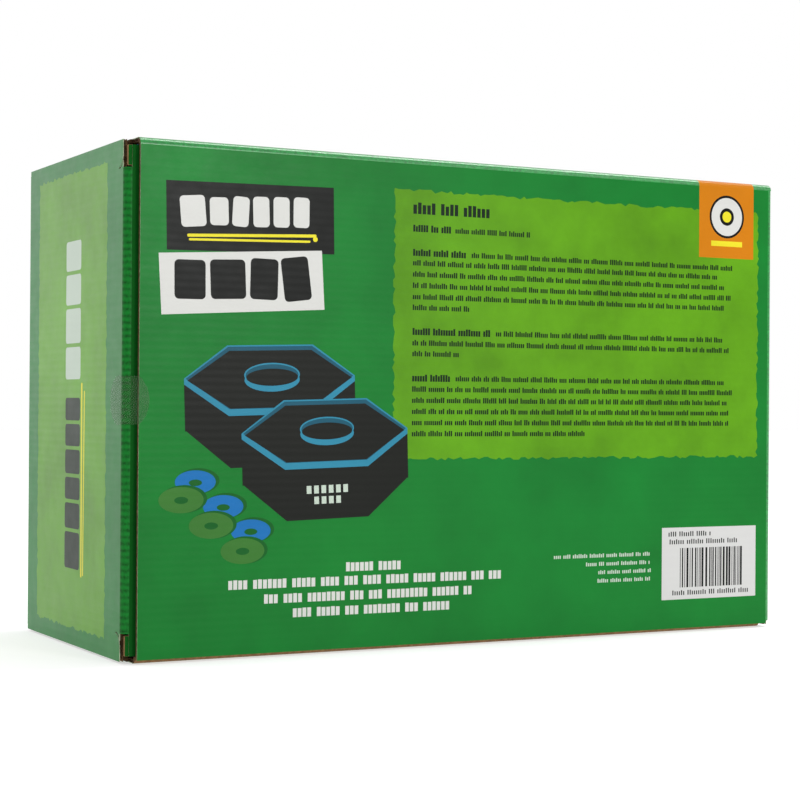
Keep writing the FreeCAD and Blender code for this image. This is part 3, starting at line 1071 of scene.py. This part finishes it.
def half_hexagon(inset):
    """The corners of a folded target's plan, with its walls moved in."""
    run, rise = HALF_LENGTH - HALF_SHORT, TARGET_BACK - TARGET_FRONT
    outer = HALF_LENGTH - inset * math.hypot(run, rise) / rise
    back = TARGET_BACK - inset
    inner = outer - (back - TARGET_FRONT) * run / rise
    return [
        Vector((-outer, TARGET_FRONT, 0)),
        Vector((-inner, back, 0)),
        Vector((inner, back, 0)),
        Vector((outer, TARGET_FRONT, 0)),
    ]


def floor_board(name, inset, low, high):
    """A padded floor board, cut to the half hexagon and rounded at its edges."""
    corners = half_hexagon(inset)
    piece = block(name, (corners[0].x, corners[0].y, low), (corners[3].x, corners[1].y, high))
    for a, b in ((corners[0], corners[1]), (corners[2], corners[3])):
        run = b - a
        trim(piece, a, (-run.y, run.x, 0))
    soften(piece, 0.9 * MM, 3)
    coat(smooth(piece), black_floor_cloth)
    return piece


def wall_bars(inset, low, high, rounding):
    """The three mitred walls of one half of a target."""
    outer, inner = half_hexagon(inset), half_hexagon(inset + WALL)
    made = []
    for index in range(3):
        a, b = outer[index], outer[index + 1]
        run = (b - a).normalized()
        out = Vector((-run.y, run.x, 0))
        middle = (a + b) / 2 - out * (WALL / 2)
        angle = math.atan2(run.y, run.x)
        bpy.ops.object.select_all(action="DESELECT")
        bpy.ops.mesh.primitive_cube_add(
            size=1,
            location=(middle.x, middle.y, (low + high) / 2),
            rotation=(0, 0, angle),
            scale=((b - a).length + 4 * WALL, WALL, high - low),
        )
        wall = settle(bpy.context.active_object)
        for corner, inside, way in ((a, inner[index], -1), (b, inner[index + 1], 1)):
            mitre = inside - corner
            normal = Vector((mitre.y, -mitre.x, 0)) * way
            if normal.dot(run * way) < 0:
                normal = -normal
            trim(wall, corner, normal)
        soften(wall, rounding, 3)
        made.append(wall)
    return made


def flat_ring(name, low, high):
    """A sleeve of cloth pressed flat: an oval tube with a narrow slot."""
    centre_y = TARGET_FRONT + CUP_INSET + CUP_R
    bpy.ops.object.select_all(action="DESELECT")
    bpy.ops.mesh.primitive_cylinder_add(
        vertices=24, radius=CUP_R, depth=high - low, location=(0, centre_y, (low + high) / 2)
    )
    ring = settle(bpy.context.active_object)
    reach = CUP_HALF - CUP_R
    for way in (-1, 1):
        pick(ring, "VERT", lambda at: at.x * way > HAIR)
        bpy.ops.transform.translate(value=(way * reach, 0, 0))
        put_down()
    pick(ring, "FACE", lambda face: abs(face.normal.z) > SQUARE_ON)
    bpy.ops.mesh.inset(thickness=CUP_R - CUP_SLOT)
    bpy.ops.mesh.bridge_edge_loops()
    put_down()
    ring.name = name
    return smooth(face_out(ring))


def target(level_name, base):
    """One target folded on itself: floor boards, two rows of walls, the bound rim and the flattened cup."""
    lower_top = base + FLOOR_BOARD
    upper_top = base + 2 * FLOOR_BOARD
    rim_low, rim = base + TARGET_HEIGHT - BINDING, base + TARGET_HEIGHT
    name = level_name + "_target_"
    made = {
        "lower_floor_board": floor_board(name + "floor_cover_low", 0, base, lower_top),
        "upper_floor_board": floor_board(name + "floor_cover_high", SECOND_ROW, lower_top, upper_top),
    }
    for row, inset, foot in (("outer", 0, lower_top), ("inner", SECOND_ROW, upper_top)):
        for side, wall in zip(("left", "middle", "right"), wall_bars(inset, foot, rim_low, 0.8 * MM)):
            wall.name = f"{name}{row}_cover_{side}"
            made[f"{row}_wall_{side}"] = coat(smooth(wall), black_wall_cloth)
    bars = wall_bars(0, rim_low, rim, 1.1 * MM) + wall_bars(SECOND_ROW, rim_low, rim, 1.1 * MM)
    for way in (-1, 1):
        near, far = sorted((way * (HALF_LENGTH - TURN_LENGTH), way * HALF_LENGTH))
        turn = block("turn", (near, TARGET_FRONT, rim_low), (far, TARGET_FRONT + WALL, rim))
        edge_from = Vector((way * HALF_LENGTH, TARGET_FRONT, 0))
        run = Vector((way * HALF_SHORT, TARGET_BACK, 0)) - edge_from
        trim(turn, edge_from, (way * run.y, -way * run.x, 0))
        bars.append(soften(turn, 0.9 * MM, 3))
    binding = smooth(joined(name + "rim_tape", bars))
    made["rim_binding"] = coat(binding, blue_tape)
    cup = flat_ring(name + "cup_cloth", upper_top, rim_low)
    made["cup"] = coat(cup, black_wall_cloth)
    tape = flat_ring(name + "cup_tape", rim_low, rim)
    made["cup_binding"] = coat(tape, blue_tape)
    for node, piece in made.items():
        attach(piece, "root")
        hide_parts(name + node)


def washer(colour, index, base, finish):
    """A pressed steel washer with rounded edges."""
    bpy.ops.object.select_all(action="DESELECT")
    bpy.ops.mesh.primitive_cylinder_add(
        vertices=72, radius=WASHER_R, depth=WASHER_THICK, location=(0, WASHER_Y, base + WASHER_THICK / 2)
    )
    disc = settle(bpy.context.active_object)
    pick(disc, "FACE", lambda face: abs(face.normal.z) > SQUARE_ON)
    bpy.ops.mesh.inset(thickness=WASHER_R - WASHER_BORE)
    bpy.ops.mesh.bridge_edge_loops()
    put_down()
    face_out(disc)

    def is_rim(middle, run):
        level = abs(abs(middle.z - base - WASHER_THICK / 2) - WASHER_THICK / 2) < HAIR
        reach = math.hypot(middle.x, middle.y - WASHER_Y)
        sideways = abs(run.x * middle.x + run.y * (middle.y - WASHER_Y)) < 0.2 * run.length * reach
        return level and sideways

    soften(disc, 0.6 * MM, 3, is_rim)
    disc.name = f"{colour}_steel_{index}"
    coat(smooth(disc, 30), finish)
    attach(disc, "root")
    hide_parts(f"washer_{colour}_{index}")


def seals():
    """The clear round seals over both mouths."""
    for side in ("left", "right"):
        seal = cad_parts[side + "_seal"]
        seal.data.materials.clear()
        seal.data.materials.append(seal_film)


# The studio


def studio():
    """A pale floor, an even white surround and soft boxes."""
    bpy.ops.object.select_all(action="DESELECT")
    bpy.ops.mesh.primitive_plane_add(size=12, location=(0, 0, -0.05 * MM))
    ground = bpy.context.active_object
    ground.name = "studio_floor"
    finish, tree, shader, where = start_finish("pale_floor", 0.9, 0.1)
    tone = blend_colours(tree, grain(tree, where, 3, 2), (0.3, (0.64, 0.64, 0.64)), (0.7, (0.66, 0.66, 0.66)))
    tree.links.new(tone, shader.inputs["Base Color"])
    shader.inputs["Emission Color"].default_value = (1, 1, 1, 1)
    shader.inputs["Emission Strength"].default_value = 0.55
    ground.data.materials.append(finish)
    settle(ground)

    surround = bpy.data.worlds.new("white_surround")
    bpy.context.scene.world = surround
    surround.use_nodes = True
    sky = surround.node_tree
    way = add_node(sky, "SeparateXYZ")
    sky.links.new(add_node(sky, "TexCoord").outputs["Generated"], way.inputs["Vector"])
    level = add_node(sky, "MapRange")
    level.inputs["From Min"].default_value = -0.35
    level.inputs["From Max"].default_value = 0.25
    level.inputs["To Min"].default_value = 0.47
    level.inputs["To Max"].default_value = 1.0
    sky.links.new(way.outputs["Y"], level.inputs["Value"])
    light = sky.nodes["Background"]
    light.inputs["Color"].default_value = (1, 1, 1, 1)
    sky.links.new(level.outputs["Result"], light.inputs["Strength"])

    def soft_box(name, location, aim, size, energy):
        lamp = bpy.data.lights.new(name, "AREA")
        lamp.shape = "RECTANGLE"
        lamp.size, lamp.size_y = size
        lamp.energy = energy
        holder = bpy.data.objects.new(name, lamp)
        bpy.context.collection.objects.link(holder)
        holder.location = location
        holder.rotation_euler = (Vector(aim) - Vector(location)).to_track_quat("-Z", "Y").to_euler()
        holder.visible_camera = False

    soft_box("top_strip_box", (0.75, 0, 1.5), (0.75, 0, 0), (1.0, 0.26), 13)
    soft_box("front_glare_box", (0.42, -1.75, 0.5), (-0.1, -0.06, 0.16), (0.34, 0.42), 9.5)
    soft_box("left_back_box", (-1.0, 1.75, 0.55), (-0.16, 0, 0.12), (1.4, 1.0), 2.7)
    soft_box("right_key_box", (1.2, -1.3, 1.25), (0.05, -0.06, 0.12), (0.7, 0.7), 3)


def camera():
    """The camera at its own height beside the carton, on the front and the left end."""
    eye = bpy.data.cameras.new("camera")
    eye.lens = 84.64
    eye.sensor_width = 36
    holder = bpy.data.objects.new("camera", eye)
    bpy.context.collection.objects.link(holder)
    holder.matrix_world = (
        Matrix.Translation((-0.4039, -0.7552, 0.1009))
        @ Matrix.Rotation(-0.4875, 4, "Z")
        @ Matrix.Rotation(QUARTER + 0.0034, 4, "X")
        @ Matrix.Rotation(0.0072, 4, "Z")
    )
    bpy.context.scene.camera = holder
    bpy.context.scene.view_settings.view_transform = "Standard"


sleeve()
for end in ("left", "right"):
    closure(end)
    end_printing(end)
front_printing()
corner_patch()
top_printing()
back_printing()
target("lower", LOWER_TARGET_BASE)
target("upper", UPPER_TARGET_BASE)
stacks = (("blue", blue_paint, BLUE_STACK_BASE), ("green", green_paint, GREEN_STACK_BASE))
for colour, finish, base in stacks:
    for index in range(3):
        washer(colour, index + 1, base + index * WASHER_THICK, finish)
seals()
studio()
camera()
